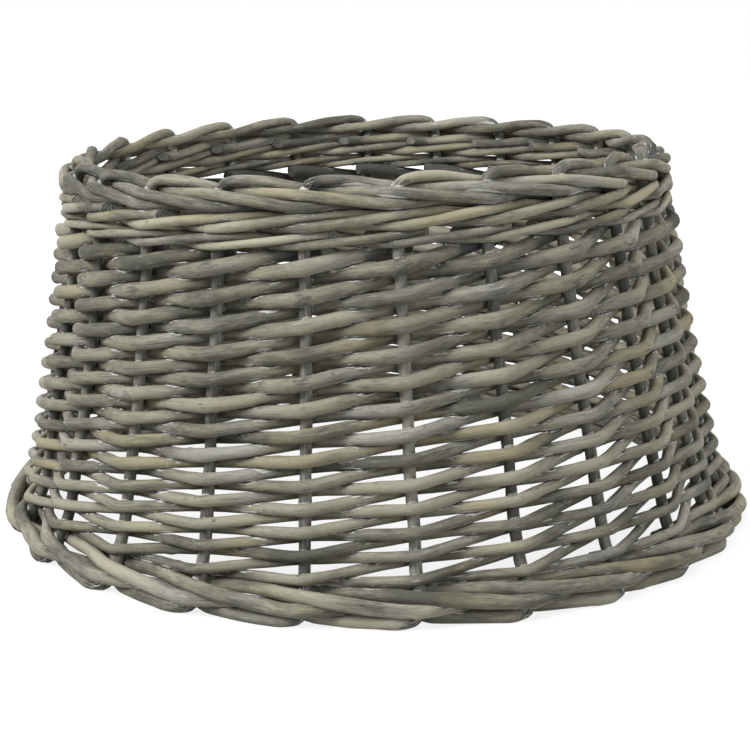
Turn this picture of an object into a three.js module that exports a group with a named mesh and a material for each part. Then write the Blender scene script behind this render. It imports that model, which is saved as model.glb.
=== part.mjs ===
// Wicker tree collar: an open ring of woven willow, wide at the foot and narrower at the rim.
//
// Millimetres, +Z up. The collar stands on z = 0 with its middle over the origin, front at -Y.
// It is made as a basket maker makes it, from whole rods, and each rod is one mesh:
//   stakes       each is one rod: its foot strokes, the upright in the wall and its rim strokes
//   weavers      rods that pass outside one stake and inside the next, one row higher each time,
//                from a thin tip at the foot to a thick butt at the top
//   lower wale   three thin rods, outside two stakes and inside one, over the top of the weave
//   upper wale   three thicker rods woven the same way, under the rim
// The rods only touch: where two cross or lie on each other they keep CLEARANCE.

import * as THREE from 'three';

// Stakes: how many, the circles of their axes at the wall's foot and at the rim, and the inward
// bow of the wall at half height. Below FLARE_HEIGHT they flare out to the foot border.
const STAKE_COUNT = 24;
const WALL_RADIUS = 268.5;
const RIM_RADIUS = 214;
const WALL_BOW = 6;
const FLARE_RADIUS = 278.6;
const FLARE_HEIGHT = 32;
const STAKE_BUTT = 8.2;
const STAKE_TIP = 6.6;

// Weave: strokes that each weaver makes outside a stake, and its thickness at each end.
// A weaver rises one row at every stake, outside and inside by turns.
const WEAVER_STROKES = 13;
const WEAVE_ROWS = 2 * WEAVER_STROKES;
const WEAVER_BUTT = 9.55;
const WEAVER_TIP = 6;
const WEAVER_END = 9;

// Wales: rod thickness, how many rods each has, the stakes that the first rods start from, and
// how far an end runs past its stake, as a share of the gap between two stakes
const LOWER_WALE = 4.8;
const UPPER_WALE = 6.2;
const WALE_RODS = 3;
const WALE_END = 0.3;
const LOWER_WALE_START = 4;
const UPPER_WALE_START = 0;

// Space left between rods that touch, between rows, and where a sloping rod crosses another, and
// how much farther out than their thickness a rod lies where it bends round a stake
const CLEARANCE = 0.5;
const ROW_CLEARANCE = 0.84;
const SLOPE_CLEARANCE = 1.4;
const WRAP = 1.03;

// The flat pressed into the foot where it stands, and the slant of a cut end
const FOOT_FLAT = 0.3;
const CUT_SLANT = 0.8;

// Borders. A rod's place is counted from its bend, in gaps between stakes: it bends over, runs
// behind the next stake, crosses out, passes outside two stakes and is cut off behind the fourth.
const BEND_END = 0.06;
const ARC_START = 0.2;
const FOOT_ARC_END = 0.7;
const RIM_ARC_END = 0.55;
const FOOT_CROSS_OUT = 1.43;
const RIM_CROSS_OUT = 1.5;
const CROSS_IN = 3.5;
const LAST_STAKE = 4;
const TAIL_GAPS = 4.32;

// How far the arcs of the foot lie out from the stakes at their start and end. Those of the rim
// run straight inward. From its crossing to the stake that it passes next, a foot stroke climbs
// by a share of its radius.
const FOOT_ARC_START_OUT = 0.3;
const FOOT_ARC_END_OUT = 0.2;
const FOOT_CLIMB = 0.65;

// The hand-set spacing of the stakes drifts a little, once and twice round the ring
const FIRST_STAKE = THREE.MathUtils.degToRad(-57.3);
const DRIFT_ONCE = THREE.MathUtils.degToRad(3.3);
const DRIFT_ONCE_PHASE = THREE.MathUtils.degToRad(63);
const DRIFT_TWICE = THREE.MathUtils.degToRad(1.7);
const DRIFT_TWICE_PHASE = THREE.MathUtils.degToRad(-116);

// The rim is set by hand too: its middle stands a little off the foot's middle, and it rises and
// falls once and twice round the ring
const RIM_OFF_X = -7.3;
const RIM_OFF_Y = 2.4;
const RISE_ONCE = 4.6;
const RISE_ONCE_PHASE = THREE.MathUtils.degToRad(-34);
const RISE_TWICE = 2;
const RISE_TWICE_PHASE = THREE.MathUtils.degToRad(47);

// A rod's section has five sides, a corner up and a flat down where it runs level
const ROD_SIDES = 5;
const FLAT = Math.cos(Math.PI / ROD_SIDES);

// Straight lengths that make up the bowed wall, the lowest one with the flare at its foot
const WALL_STEPS = 4;

// Which side of the stakes a rod is on. Where rods cross between two stakes, they cross a little
// inside the stakes' circle.
const INSIDE = -1;
const CROSSING = -0.3;
const BETWEEN = 0;
const OUTSIDE = 1;

// Thickness of each rod along its length. A stake tapers evenly from the end of its foot strokes
// to the end of its rim strokes: the foot, the wall and the rim take a third of the rod each.

function stakeRadius(share) {
  return THREE.MathUtils.lerp(STAKE_BUTT, STAKE_TIP, share) / 2;
}

function footRadius(gaps) {
  return stakeRadius((1 - gaps / TAIL_GAPS) / 3);
}

function rimRadius(gaps) {
  return stakeRadius((2 + gaps / TAIL_GAPS) / 3);
}

function weaverRadius(row) {
  return THREE.MathUtils.lerp(WEAVER_TIP, WEAVER_BUTT, row / WEAVE_ROWS) / 2;
}

// Heights. Everything is stacked from the ground up, each rod lying on the one below it.

function stack(lowerRadius, upperRadius, clearance = CLEARANCE) {
  return lowerRadius + FLAT * upperRadius + clearance;
}

// Foot strokes: the arc on the ground, then each stroke on the ones that it crosses
function stackFeet(gapsBelow, gapsAbove, clearance) {
  return stack(footRadius(gapsBelow), footRadius(gapsAbove), clearance);
}

const footLevels = {};
footLevels.arc = FLAT * footRadius(FOOT_ARC_END) - FOOT_FLAT;
footLevels.over = footLevels.arc + stackFeet(FOOT_CROSS_OUT - 1, FOOT_CROSS_OUT, ROW_CLEARANCE);
footLevels.inside = footLevels.over - footRadius(1) / 2;
footLevels.outsideLow = footLevels.over + FOOT_CLIMB * footRadius(2);
footLevels.outsideHigh = footLevels.outsideLow + stackFeet(2, 3, SLOPE_CLEARANCE);
const climb = (CROSS_IN - 2 - FOOT_CROSS_OUT) / (2 - FOOT_CROSS_OUT);
const crossedIn = THREE.MathUtils.lerp(footLevels.over, footLevels.outsideLow, climb);
footLevels.tuck = crossedIn + stackFeet(CROSS_IN - 2, CROSS_IN, CLEARANCE);
footLevels.end = footLevels.inside + stackFeet(1, TAIL_GAPS, CLEARANCE);

// Rows of the weave, the first one over the ends of the foot strokes. The rods climb, and lie
// on each other at right angles to their slope, so a row takes a little more than a stack.
function rowHeights() {
  const gap = (2 * Math.PI * RIM_RADIUS) / STAKE_COUNT;
  const first = stack(footRadius(TAIL_GAPS), weaverRadius(0), ROW_CLEARANCE);
  const heights = [footLevels.end + first];
  for (let row = 1; row <= WEAVE_ROWS; row += 1) {
    const radius = weaverRadius(row - 0.5);
    const lift = stack(radius, radius, ROW_CLEARANCE);
    heights.push(heights[row - 1] + lift / Math.cos(Math.atan(lift / gap)));
  }
  return heights;
}

const rows = rowHeights();
const topRow = rows[WEAVE_ROWS];
const topRadius = weaverRadius(WEAVE_ROWS);

// Levels of a wale: going out between two stakes, coming in again, and inside a stake
function waleLevels(underOut, underInside, radius, underRadius) {
  const out = underOut + stack(underRadius, radius);
  const back = out + stack(radius, radius, SLOPE_CLEARANCE);
  const inside = Math.max(underInside + stack(underRadius, radius), (out + back) / 2);
  return { out, back, inside };
}

const topCrossing = THREE.MathUtils.lerp(rows[WEAVE_ROWS - 1], topRow, (1 - CROSSING) / 2);
const lowerLevels = waleLevels(topCrossing, topRow, LOWER_WALE / 2, topRadius);
const upperLevels = waleLevels(lowerLevels.back, lowerLevels.inside, UPPER_WALE / 2, LOWER_WALE / 2);

// Rim strokes: the cut ends lie lowest, on the upper wale, and the arcs lie on top
const rimLevels = {};
rimLevels.tuck = upperLevels.back + stack(UPPER_WALE / 2, rimRadius(CROSS_IN));
rimLevels.end = upperLevels.inside + stack(UPPER_WALE / 2, rimRadius(TAIL_GAPS));
rimLevels.rise = rimLevels.tuck + stack(rimRadius(CROSS_IN), rimRadius(RIM_CROSS_OUT), SLOPE_CLEARANCE);
rimLevels.inside = rimLevels.rise + rimRadius(1) / 2;
rimLevels.arc = rimLevels.inside + stack(rimRadius(1), rimRadius(RIM_ARC_END)) - rimRadius(1) / 4;

const HEIGHT = rimLevels.arc + rimRadius(ARC_START);

// Plan of the wall

function stakeAngle(place) {
  const round = (2 * Math.PI * place) / STAKE_COUNT;
  const once = DRIFT_ONCE * Math.sin(round + DRIFT_ONCE_PHASE);
  const twice = DRIFT_TWICE * Math.sin(2 * round + DRIFT_TWICE_PHASE);
  return FIRST_STAKE + round + once + twice;
}

function bowedRadius(z) {
  const down = 1 - z / HEIGHT;
  const lean = (WALL_RADIUS - RIM_RADIUS) * down;
  return RIM_RADIUS + lean - 4 * WALL_BOW * down * (1 - down);
}

// Heights where a stake bends in the wall, with the radius of its axis. It is straight between.
const bends = [
  { z: 0, radius: FLARE_RADIUS },
  { z: FLARE_HEIGHT, radius: bowedRadius(FLARE_HEIGHT) },
];
for (let step = 1; step <= WALL_STEPS; step += 1) {
  const z = (step * HEIGHT) / WALL_STEPS;
  bends.push({ z, radius: bowedRadius(z) });
}

// The straight length of a stake at a height: the radius of the stakes' axes there, and how much
// longer it is than it is high
function wallAt(z) {
  const above = bends.findIndex((bend) => bend.z > z);
  const [low, high] = [bends[above - 1], bends[above]];
  const radius = THREE.MathUtils.mapLinear(z, low.z, high.z, low.radius, high.radius);
  return { radius, stretch: Math.hypot(1, (high.radius - low.radius) / (high.z - low.z)) };
}

// How far the rim, and with it the weave, is lifted at an angle
function rise(angle) {
  const once = RISE_ONCE * Math.sin(angle + RISE_ONCE_PHASE);
  return once + RISE_TWICE * Math.sin(2 * angle + RISE_TWICE_PHASE);
}

function uprightRadius(z) {
  return stakeRadius((1 + z / HEIGHT) / 3);
}

// One point of a rod. place counts stakes round the ring and may lie between two of them,
// side is INSIDE, BETWEEN or OUTSIDE the stakes, or part of the way.
function knot(place, z, side, radius) {
  const wall = wallAt(z);
  const away = (WRAP * (uprightRadius(z) + radius) + CLEARANCE) * wall.stretch;
  const out = wall.radius + side * away;
  const up = z / HEIGHT;
  const lifted = THREE.MathUtils.clamp((z - rows[0]) / (topRow - rows[0]), 0, 1);
  const left = Math.floor(place);
  const corners = [left, left + 1].map((index) => {
    const angle = stakeAngle(index);
    const x = out * Math.sin(angle) + RIM_OFF_X * up;
    const y = -out * Math.cos(angle) + RIM_OFF_Y * up;
    return new THREE.Vector3(x, y, z + rise(angle) * lifted);
  });
  return { point: corners[0].lerp(corners[1], place - left), radius };
}

// Tube through the knots, five-sided, mitred at each bend, with closed ends.
// slant leans the cut of both ends so that the rod's outer side is the longer one.
function rodGeometry(knots, slant) {
  const last = knots.length - 1;
  const positions = [];
  knots.forEach(({ point, radius }, index) => {
    const before = knots[Math.max(index - 1, 0)].point;
    const after = knots[Math.min(index + 1, last)].point;
    const arriving = point.clone().sub(before).normalize();
    const leaving = after.clone().sub(point).normalize();
    const along = arriving.clone().add(leaving).normalize();
    const bend = leaving.clone().sub(arriving);
    if (index === 0 || index === last) bend.set(0, 0, 0);
    const stretch = bend.length() > 0 ? 1 / Math.max(along.dot(leaving), 0.8) - 1 : 0;
    bend.normalize();
    const outward = new THREE.Vector3(point.x, point.y, 0).normalize();
    outward.addScaledVector(along, -outward.dot(along)).normalize();
    const upward = outward.clone().cross(along);
    const cut = { 0: -slant, [last]: slant }[index] ?? 0;
    for (let side = 0; side < ROD_SIDES; side += 1) {
      const turn = Math.PI / 2 + (2 * Math.PI * side) / ROD_SIDES;
      const offset = outward.clone().multiplyScalar(radius * Math.cos(turn));
      offset.addScaledVector(upward, radius * Math.sin(turn));
      offset.addScaledVector(bend, offset.dot(bend) * stretch);
      offset.addScaledVector(along, radius * Math.cos(turn) * cut);
      offset.add(point);
      positions.push(offset.x, offset.y, Math.max(offset.z, 0));
    }
  });
  const faces = [];
  for (let index = 0; index < last; index += 1) {
    for (let side = 0; side < ROD_SIDES; side += 1) {
      const a = index * ROD_SIDES + side;
      const b = index * ROD_SIDES + ((side + 1) % ROD_SIDES);
      faces.push(a, b + ROD_SIDES, b, a, a + ROD_SIDES, b + ROD_SIDES);
    }
  }
  const end = last * ROD_SIDES;
  for (let side = 1; side < ROD_SIDES - 1; side += 1) {
    faces.push(0, side, side + 1, end, end + side + 1, end + side);
  }
  const geometry = new THREE.BufferGeometry();
  geometry.setAttribute('position', new THREE.Float32BufferAttribute(positions, 3));
  geometry.setIndex(faces);
  geometry.computeVertexNormals();
  return geometry;
}

// Materials

function willow(color, roughness) {
  return new THREE.MeshStandardMaterial({ color, roughness, metalness: 0, flatShading: true });
}

const stakeWillow = () => willow(0x84826f, 0.85);
const weaverWillow = () => willow(0x8d8a70, 0.8);
const waleWillow = () => willow(0x9c987c, 0.8);

// A rod's mesh, turned to the stake that it starts from
function rodMesh(name, knots, material, start, slant) {
  const turn = stakeAngle(start);
  const geometry = rodGeometry(knots, slant);
  geometry.rotateZ(-turn);
  const mesh = new THREE.Mesh(geometry, material);
  mesh.name = name;
  mesh.rotation.z = turn;
  return mesh;
}

// A stake: from its butt inside the foot, round the foot, up the wall and round the rim.
// At the foot it runs to the left of its upright and at the rim to the right.
function stakeKnots(index) {
  const foot = (gaps, z, side) => knot(index - gaps, z, side, footRadius(gaps));
  const rim = (gaps, z, side) => knot(index + gaps, z, side, rimRadius(gaps));
  const upright = (z) => knot(index, z, BETWEEN, uprightRadius(z));
  const knots = [
    foot(TAIL_GAPS, footLevels.end, INSIDE),
    foot(LAST_STAKE, footLevels.end, INSIDE),
    foot(CROSS_IN, footLevels.tuck, CROSSING),
    foot(3, footLevels.outsideHigh, OUTSIDE),
    foot(2, footLevels.outsideLow, OUTSIDE),
    foot(FOOT_CROSS_OUT, footLevels.over, CROSSING),
    foot(1, footLevels.inside, INSIDE),
    foot(FOOT_ARC_END, footLevels.arc, FOOT_ARC_END_OUT),
    foot(ARC_START, footLevels.arc, FOOT_ARC_START_OUT),
    foot(BEND_END, footLevels.arc + footRadius(0) / 4, BETWEEN),
    upright(footLevels.arc + 2 * footRadius(0)),
  ];
  bends.slice(1, -1).forEach(({ z }) => knots.push(upright(z)));
  knots.push(
    upright(rimLevels.arc - 2 * rimRadius(0)),
    rim(BEND_END, rimLevels.arc - rimRadius(0) / 2, BETWEEN),
    rim(ARC_START, rimLevels.arc, ARC_START * INSIDE),
    rim(RIM_ARC_END, rimLevels.arc, RIM_ARC_END * INSIDE),
    rim(1, rimLevels.inside, INSIDE),
    rim(RIM_CROSS_OUT, rimLevels.rise, CROSSING),
    rim(2, rimLevels.rise, OUTSIDE),
    rim(3, rimLevels.tuck, OUTSIDE),
    rim(CROSS_IN, rimLevels.tuck, CROSSING),
    rim(LAST_STAKE, rimLevels.end, INSIDE),
    rim(TAIL_GAPS, rimLevels.end, INSIDE),
  );
  return knots;
}

// A weaver: inside its first stake, outside the next, and so on up to its butt
function weaverKnots(index) {
  const gap = (2 * Math.PI * WALL_RADIUS) / STAKE_COUNT;
  const end = WEAVER_END / gap;
  const knots = [knot(index - end, rows[0], INSIDE, weaverRadius(0))];
  for (let row = 0; row <= WEAVE_ROWS; row += 1) {
    const side = row % 2 === 0 ? INSIDE : OUTSIDE;
    knots.push(knot(index + row, rows[row], side, weaverRadius(row)));
  }
  knots.push(knot(index + WEAVE_ROWS + end, topRow, INSIDE, topRadius));
  return knots;
}

// A wale rod: inside one stake and outside the next two, once round the ring
function waleKnots(start, levels, radius) {
  const place = (gaps, z, side) => knot(start + gaps, z, side, radius);
  const knots = [place(-WALE_END, levels.inside, INSIDE)];
  for (let gaps = 0; gaps < STAKE_COUNT; gaps += WALE_RODS) {
    knots.push(
      place(gaps, levels.inside, INSIDE),
      place(gaps + 0.5, levels.out, CROSSING),
      place(gaps + 1, levels.out, OUTSIDE),
      place(gaps + WALE_RODS - 1, levels.back, OUTSIDE),
      place(gaps + WALE_RODS - 0.5, levels.back, CROSSING),
    );
  }
  knots.pop();
  const endSide = THREE.MathUtils.lerp(OUTSIDE, CROSSING, 2 * WALE_END);
  knots.push(place(STAKE_COUNT - 1 + WALE_END, levels.back, endSide));
  return knots;
}

// The collar

const collar = new THREE.Group();
const numbered = (name, index) => `${name}_${String(index + 1).padStart(2, '0')}`;

for (let index = 0; index < STAKE_COUNT; index += 1) {
  const name = numbered('stake', index);
  collar.add(rodMesh(name, stakeKnots(index), stakeWillow(), index, CUT_SLANT));
}

for (let index = 0; index < STAKE_COUNT; index += 1) {
  const name = numbered('weaver', index);
  collar.add(rodMesh(name, weaverKnots(index), weaverWillow(), index, 0));
}

for (let index = 0; index < WALE_RODS; index += 1) {
  const lower = LOWER_WALE_START + index;
  const upper = UPPER_WALE_START + index;
  const lowerKnots = waleKnots(lower, lowerLevels, LOWER_WALE / 2);
  const upperKnots = waleKnots(upper, upperLevels, UPPER_WALE / 2);
  collar.add(rodMesh(numbered('lower_wale', index), lowerKnots, waleWillow(), lower, 0));
  collar.add(rodMesh(numbered('upper_wale', index), upperKnots, waleWillow(), upper, 0));
}

export default collar;
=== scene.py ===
# %% [markdown]
# # A wicker tree collar
# The collar is basket work, a wide ring of willow that hides a tree's stand. It has 24 upright
# stakes, 24 weavers that climb between them and six thin wale rods that bind the top.
# A picture of a weave on a smooth cone would be quick, but light has to fall through a wicker
# wall and every rod casts its own shadow. So this lesson makes the rods, one by one: it reads the
# middle line of each rod from the CAD model, bends a round and slightly crooked rod along it, and
# then gives it weathered bark.

import math
from types import SimpleNamespace

import bmesh
import bpy
import numpy as np
from mathutils import Matrix, Vector
from mathutils.kdtree import KDTree


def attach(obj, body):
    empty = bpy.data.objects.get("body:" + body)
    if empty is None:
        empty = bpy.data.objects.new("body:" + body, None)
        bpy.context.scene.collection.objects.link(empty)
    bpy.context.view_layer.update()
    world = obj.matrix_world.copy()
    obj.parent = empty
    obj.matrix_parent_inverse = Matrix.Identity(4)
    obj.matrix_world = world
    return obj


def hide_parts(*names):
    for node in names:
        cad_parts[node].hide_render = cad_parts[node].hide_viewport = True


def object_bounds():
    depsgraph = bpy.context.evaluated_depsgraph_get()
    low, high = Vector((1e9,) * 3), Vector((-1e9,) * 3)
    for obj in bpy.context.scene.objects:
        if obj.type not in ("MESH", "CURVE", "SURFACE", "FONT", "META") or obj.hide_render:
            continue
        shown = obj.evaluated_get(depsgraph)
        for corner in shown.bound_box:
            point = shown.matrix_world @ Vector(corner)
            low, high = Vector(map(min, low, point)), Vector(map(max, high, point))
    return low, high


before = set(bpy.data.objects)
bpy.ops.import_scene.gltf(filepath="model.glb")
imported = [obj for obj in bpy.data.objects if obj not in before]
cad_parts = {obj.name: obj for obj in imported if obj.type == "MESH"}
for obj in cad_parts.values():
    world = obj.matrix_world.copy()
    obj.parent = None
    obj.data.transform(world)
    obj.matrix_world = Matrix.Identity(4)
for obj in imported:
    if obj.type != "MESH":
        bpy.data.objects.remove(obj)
cad_low, cad_high = [[float(number) for number in corner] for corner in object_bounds()]
nodes = sorted(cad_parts)
MM = 0.001
print("rods in the model:", len(nodes), "height:", round(cad_high[2] / MM, 1), "mm")

# %% [markdown]
# ## The camera
# The photograph looks a little down on the collar from the front, through a long lens. Its place
# could be found by trial, but the stakes and rows are at known places in the model and in the
# photograph, and a least-squares fit to them gives the numbers below. The focus is counted in the
# picture's own pixels, so it turns into a lens length through the width of the sensor.

# %% Set up the camera
PICTURE_WIDTH = 750
SENSOR_WIDTH = 36
FOCUS = 1612.93
DISTANCE = 1253.7 * MM
PITCH = math.radians(13.39)
ROLL = math.radians(-0.42)
AIM = Vector((-0.35, 0, 97.4)) * MM

ahead = Vector((0, math.cos(PITCH), -math.sin(PITCH)))
right = Vector((1, 0, 0))
up = right.cross(ahead)
level_right = math.cos(ROLL) * right + math.sin(ROLL) * up
level_up = math.cos(ROLL) * up - math.sin(ROLL) * right
turn = Matrix((level_right, level_up, -ahead)).transposed()

lens = bpy.data.cameras.new("Camera")
lens.sensor_width = SENSOR_WIDTH
lens.lens = FOCUS * SENSOR_WIDTH / PICTURE_WIDTH
camera = bpy.data.objects.new("Camera", lens)
camera.matrix_world = Matrix.Translation(AIM - DISTANCE * ahead) @ turn.to_4x4()
bpy.context.collection.objects.link(camera)
bpy.context.scene.camera = camera
print("lens:", round(lens.lens, 1), "mm")

# %% [markdown]
# ## Shader maths
# Bark takes a lot of small sums: a streak times a mask, one minus a stain. Nodes could be placed
# and linked one at a time, which hides the sum. This class wraps a socket instead, so that the
# sum is written as a sum and the Math nodes follow from it. Every other node comes from
# `Wire.node`, which sets the node's settings first and then fills its sockets.


# %% Wrap a socket
class Wire:
    """A socket of the material in hand. Sums and products of wires make Math nodes."""

    tree = None

    def __init__(self, socket):
        self.socket = socket

    @classmethod
    def node(cls, kind, settings, sockets, output=0):
        """Adds a node, and gives one of its outputs if it has any."""
        made = cls.tree.nodes.new(kind)
        for name, setting in settings.items():
            setattr(made, name, setting)
        for name, content in sockets.items():
            if isinstance(content, Wire):
                cls.tree.links.new(content.socket, made.inputs[name])
            else:
                made.inputs[name].default_value = content
        return cls(made.outputs[output]) if made.outputs else None

    @classmethod
    def maths(cls, operation, *terms):
        """A Math node that works on the terms."""
        settings = {"operation": operation}
        return cls.node("ShaderNodeMath", settings, dict(enumerate(terms)))

    def out(self, name):
        """Another output of the node that this wire comes from."""
        return Wire(self.socket.node.outputs[name])

    def __add__(self, other):
        return Wire.maths("ADD", self, other)

    def __sub__(self, other):
        return Wire.maths("SUBTRACT", self, other)

    def __rsub__(self, other):
        return Wire.maths("SUBTRACT", other, self)

    def __mul__(self, other):
        return Wire.maths("MULTIPLY", self, other)

    __radd__ = __add__
    __rmul__ = __mul__


print("shader maths ready")

# %% [markdown]
# ## A few mixing bowls
# Some small recipes come back in every finish. `fade` turns a value into a soft mask, `tint`
# mixes two colours by a mask, `darken` multiplies a colour, `measured` reads a value that was
# stored on a rod, and `grain` is noise that is stretched along the rod. A picture of bark could
# take its place, but a rod seen this close needs a grain that never repeats and has no seam.

# %% Mix colours and make grain
# A Mix node has sockets for numbers, vectors and colours, and these are the ones for colours.
MIX_BELOW, MIX_ABOVE, MIX_RESULT = 6, 7, 2


def colour(red, green, blue):
    """A solid colour as a socket takes it."""
    return (red, green, blue, 1)


def grey(level):
    return colour(level, level, level)


def fade(value, start, end):
    """0 where the value is at start or before it, 1 at end or past it, soft in between."""
    rising = start < end
    sockets = {
        "Value": value,
        "From Min": min(start, end),
        "From Max": max(start, end),
        "To Min": 0 if rising else 1,
        "To Max": 1 if rising else 0,
    }
    return Wire.node("ShaderNodeMapRange", {"interpolation_type": "SMOOTHSTEP"}, sockets)


def tint(mask, below, above):
    """The colour below where the mask is 0, and the colour above where it is 1."""
    settings = {"data_type": "RGBA", "clamp_factor": True}
    sockets = {0: mask, MIX_BELOW: below, MIX_ABOVE: above}
    return Wire.node("ShaderNodeMix", settings, sockets, MIX_RESULT)


def darken(paint, shade):
    """The colour times a grey value."""
    settings = {"operation": "SCALE"}
    return Wire.node("ShaderNodeVectorMath", settings, {0: paint, "Scale": shade})


def measured(name, output="Fac"):
    """A value that was stored on the rod's corners."""
    return Wire.node("ShaderNodeAttribute", {"attribute_name": name}, {}, output)


def grain(place, along, across, detail=2, rough=0.55):
    """Noise with marks about `along` millimetres long and `across` millimetres wide."""
    stretch = {0: place, 1: (1 / along, 1 / across, 1 / across)}
    stretched = Wire.node("ShaderNodeVectorMath", {"operation": "MULTIPLY"}, stretch)
    sockets = {"Vector": stretched, "Scale": 1, "Detail": detail, "Roughness": rough}
    return Wire.node("ShaderNodeTexNoise", {}, sockets)


print("mixing bowls ready")

# %% [markdown]
# ## A white room
# The photograph was taken on plain white. A world as bright as that would bleach the willow, so
# it is white only to the camera and to surfaces that mirror it or let it through. Everything else
# gets a dim, even light from it, which lifts the deepest shadows in the weave.

# %% Whiten the background
AMBIENT = 0.12


def seen_directly():
    """1 for a ray from the camera, or one that a glossy or clear surface sends on."""
    path = Wire.node("ShaderNodeLightPath", {}, {}, "Is Camera Ray")
    glossy = Wire.maths("MAXIMUM", path, path.out("Is Glossy Ray"))
    return Wire.maths("MAXIMUM", glossy, path.out("Is Transmission Ray"))


world = bpy.data.worlds.new("Studio")
bpy.context.scene.world = world
world.use_nodes = True
Wire.tree = world.node_tree
Wire.tree.nodes.clear()
eye = seen_directly()
white = {"Color": grey(1), "Strength": eye + AMBIENT * (1 - eye)}
Wire.node("ShaderNodeOutputWorld", {}, {"Surface": Wire.node("ShaderNodeBackground", {}, white)})
print("light from the world:", AMBIENT)

# %% [markdown]
# ## The floor
# The floor has to look white and still carry the collar's shadow. More light would do it, and
# bleach the willow too. So the floor has two paints: a plain grey one that the willow sees, and
# one for the camera that also glows a little, up to full white farther out, where the floor
# meets the background.

# %% Lay the floor
FLOOR_RADIUS = 6
FLOOR_CORNERS = 96
FLOOR_DROP = 0.2 * MM
FLOOR_TONE = 0.4
FLOOR_SHADED = 0.3
FLOOR_GLOW = 0.82
GLOW_START, GLOW_END = 0.4, 1.2


def new_material(name):
    """An empty material, whose nodes the next wires make."""
    material = bpy.data.materials.new(name)
    material.use_nodes = True
    Wire.tree = material.node_tree
    Wire.tree.nodes.clear()
    return material


floor_paint = new_material("Studio floor")
plain = Wire.node("ShaderNodeBsdfDiffuse", {}, {"Color": grey(FLOOR_TONE)})
shaded = Wire.node("ShaderNodeBsdfDiffuse", {}, {"Color": grey(FLOOR_SHADED)})
spot = Wire.node("ShaderNodeNewGeometry", {}, {}, "Position")
far_off = Wire.node("ShaderNodeVectorMath", {"operation": "LENGTH"}, {0: spot}, "Value")
glow = tint(fade(far_off, GLOW_START, GLOW_END), grey(FLOOR_GLOW), grey(1))
glowing = Wire.node("ShaderNodeEmission", {}, {"Color": glow})
lifted = Wire.node("ShaderNodeAddShader", {}, {0: shaded, 1: glowing})
both = Wire.node("ShaderNodeMixShader", {}, {0: seen_directly(), 1: plain, 2: lifted})
Wire.node("ShaderNodeOutputMaterial", {}, {"Surface": both})

disc = bmesh.new()
bmesh.ops.create_circle(disc, cap_ends=True, segments=FLOOR_CORNERS, radius=FLOOR_RADIUS)
floor_mesh = bpy.data.meshes.new("Floor")
disc.to_mesh(floor_mesh)
disc.free()
floor = bpy.data.objects.new("Floor", floor_mesh)
floor.location.z = -FLOOR_DROP
floor_mesh.materials.append(floor_paint)
bpy.context.collection.objects.link(floor)
print("floor:", 2 * FLOOR_RADIUS, "m across")

# %% [markdown]
# ## The lamps
# In the photograph the light is soft and comes mostly from above, a little from the left. One
# lamp could do that, but the collar is looked at from all sides, so weaker lamps stand round it
# and one hangs over it. They are large for their distance, which keeps the shadows soft.

# %% Hang the lamps
LAMP_AIM = Vector((0, 0, 0.1))
# Place in metres, power in watts, and length of a side
LAMPS = {
    "Key": ((-2.05, -1.25, 1.8), 65, 1.1),
    "Fill": ((1.7, -2.1, 1.0), 18, 1.5),
    "Overhead": ((0.1, -0.7, 2.3), 17, 1.2),
    "Behind": ((-0.9, 2.3, 1.2), 26, 1.5),
    "Side": ((2.3, 1.1, 1.1), 19, 1.5),
}


def hang(name, place, power, side):
    """A soft square lamp that faces the collar."""
    light = bpy.data.lights.new(name, "AREA")
    light.energy = power
    light.size = side
    made = bpy.data.objects.new(name, light)
    made.location = place
    made.rotation_euler = (LAMP_AIM - Vector(place)).to_track_quat("-Z", "Y").to_euler()
    bpy.context.collection.objects.link(made)


for lamp, (place, power, side) in LAMPS.items():
    hang(lamp, place, power, side)
bpy.context.scene.view_settings.view_transform = "Standard"
print("lamps:", ", ".join(LAMPS))

# %% [markdown]
# ## Read the rods
# In the model each rod is a tube with five flat sides. Its corners lie in rings, and the middle of
# a ring is a point of the rod's middle line. The rings could be typed in as numbers, but the model
# knows them better: starting from the closed end face, the corners that are one edge farther away
# are the next ring, and so on to the other end. From here until the meshes are made, all lengths
# are in millimetres.

# %% Find the middle line of a CAD rod
CAD_SIDES = 5
SAME_CORNER = 0.02 * MM
SAME_FACE = math.radians(0.1)


def rings_from(end, corner_count):
    """Rings of corners from an end face to the far end, or None if the face isn't an end."""
    rings = [sorted(end.verts, key=lambda corner: corner.index)]
    seen = set(rings[0])
    while len(seen) < corner_count:
        linked = {edge.other_vert(corner) for corner in rings[-1] for edge in corner.link_edges}
        rings.append(sorted(linked - seen, key=lambda corner: corner.index))
        seen |= linked
        if len(rings[-1]) != CAD_SIDES:
            return None
    return rings


def read_rod(node):
    """Middle points of the rod's rings, and its radius at both ends."""
    tube = bmesh.new()
    tube.from_mesh(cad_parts[node].data)
    bmesh.ops.remove_doubles(tube, verts=tube.verts, dist=SAME_CORNER)
    bmesh.ops.dissolve_limit(tube, angle_limit=SAME_FACE, verts=[], edges=tube.edges)
    tube.verts.index_update()
    ends = [face for face in tube.faces if len(face.verts) == CAD_SIDES]
    rings = next(filter(None, (rings_from(end, len(tube.verts)) for end in ends)))
    corners = np.array([[corner.co for corner in ring] for ring in rings]) / MM
    tube.free()
    middles = corners.mean(axis=1)
    radii = np.linalg.norm(corners - middles[:, None], axis=2).min(axis=1)
    east, north = middles[:, 0], middles[:, 1]
    if np.sum(east[:-1] * north[1:] - east[1:] * north[:-1]) < 0:
        middles, radii = middles[::-1], radii[::-1]
    # The end rings lie at a slant, so the radius is taken from the rings next to them.
    return middles, (radii[1], radii[-2])


class Rod:
    """One willow rod. Every rod runs to the right, seen from outside the collar."""

    def __init__(self, number, node):
        self.node = node
        self.kind = node.rstrip("_0123456789")
        self.luck = np.random.default_rng(number)
        self.knots, self.end_radii = read_rod(node)


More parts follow.
